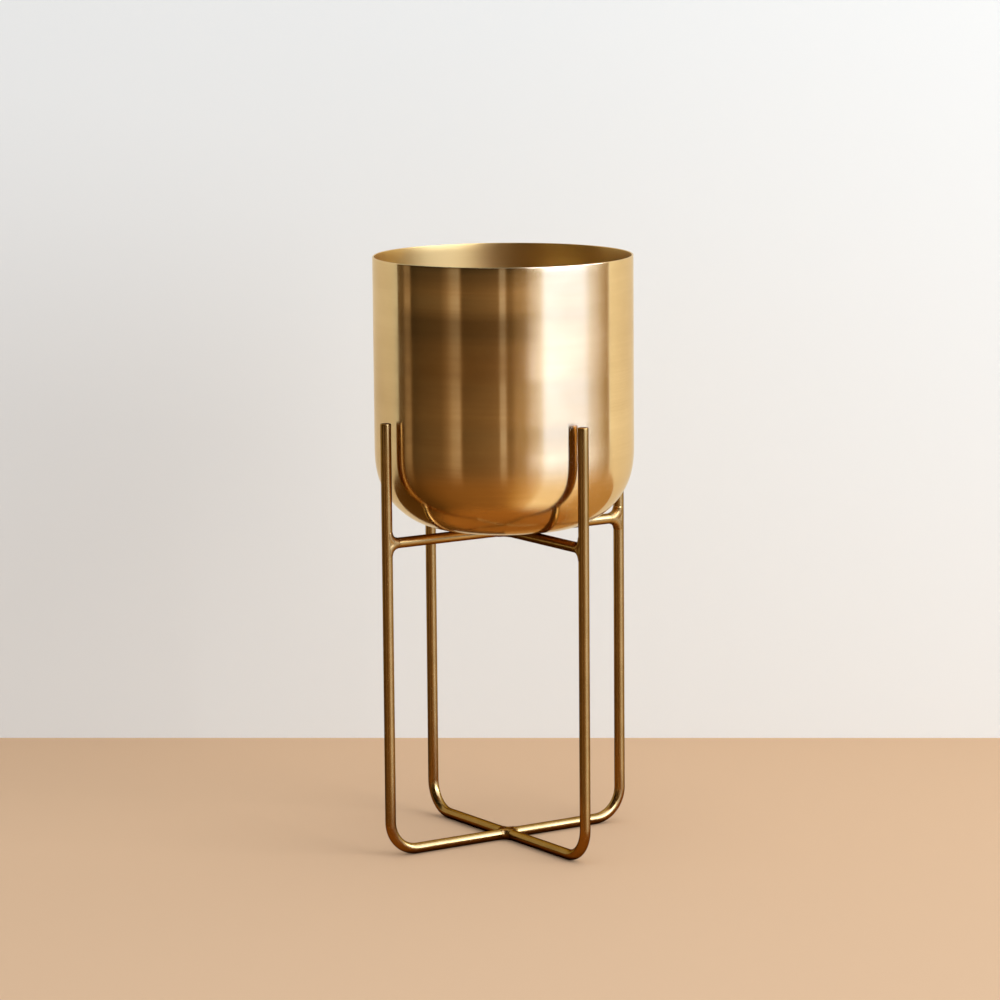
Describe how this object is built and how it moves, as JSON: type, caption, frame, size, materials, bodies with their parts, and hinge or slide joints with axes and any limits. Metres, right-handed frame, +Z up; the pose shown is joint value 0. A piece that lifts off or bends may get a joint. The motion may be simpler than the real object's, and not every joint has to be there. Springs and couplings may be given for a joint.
{
  "type": "planter with stand",
  "caption": "Deep cylindrical brass pot with a rounded bottom, resting loose in a welded stand of bent round rod; the pot lifts out.",
  "frame": {"origin": "on the floor plane, under the common axis of the pot and the stand", "axes": "+Z up along the pot's axis; the one-piece hoop lies in the YZ plane with its front leg at -Y, and the two half hoops lie in the XZ plane"},
  "size_m": [0.1894, 0.1894, 0.3893],
  "materials": {
    "polished_brass": "polished, with fine brush lines round the wall",
    "antique_brass": "satin, aged",
    "weld_brass": "satin, ground by hand"
  },
  "bodies": {
    "stand": {"hoop": "antique_brass", "half_hoop_left": "antique_brass", "half_hoop_right": "antique_brass", "cross_bar": "antique_brass", "half_bar_front": "antique_brass", "half_bar_back": "antique_brass", "weld_leg_left": "weld_brass", "weld_leg_right": "weld_brass", "weld_leg_front": "weld_brass", "weld_leg_back": "weld_brass", "weld_floor_left": "weld_brass", "weld_floor_right": "weld_brass", "weld_brace_front": "weld_brass", "weld_brace_back": "weld_brass"},
    "pot": {"pot": "polished_brass"}
  },
  "joints": [
    {"name": "pot_lift", "type": "slide", "parent": "stand", "child": "pot", "axis": [0, 0, 1], "range_m": [0, 0.09]}
  ]
}
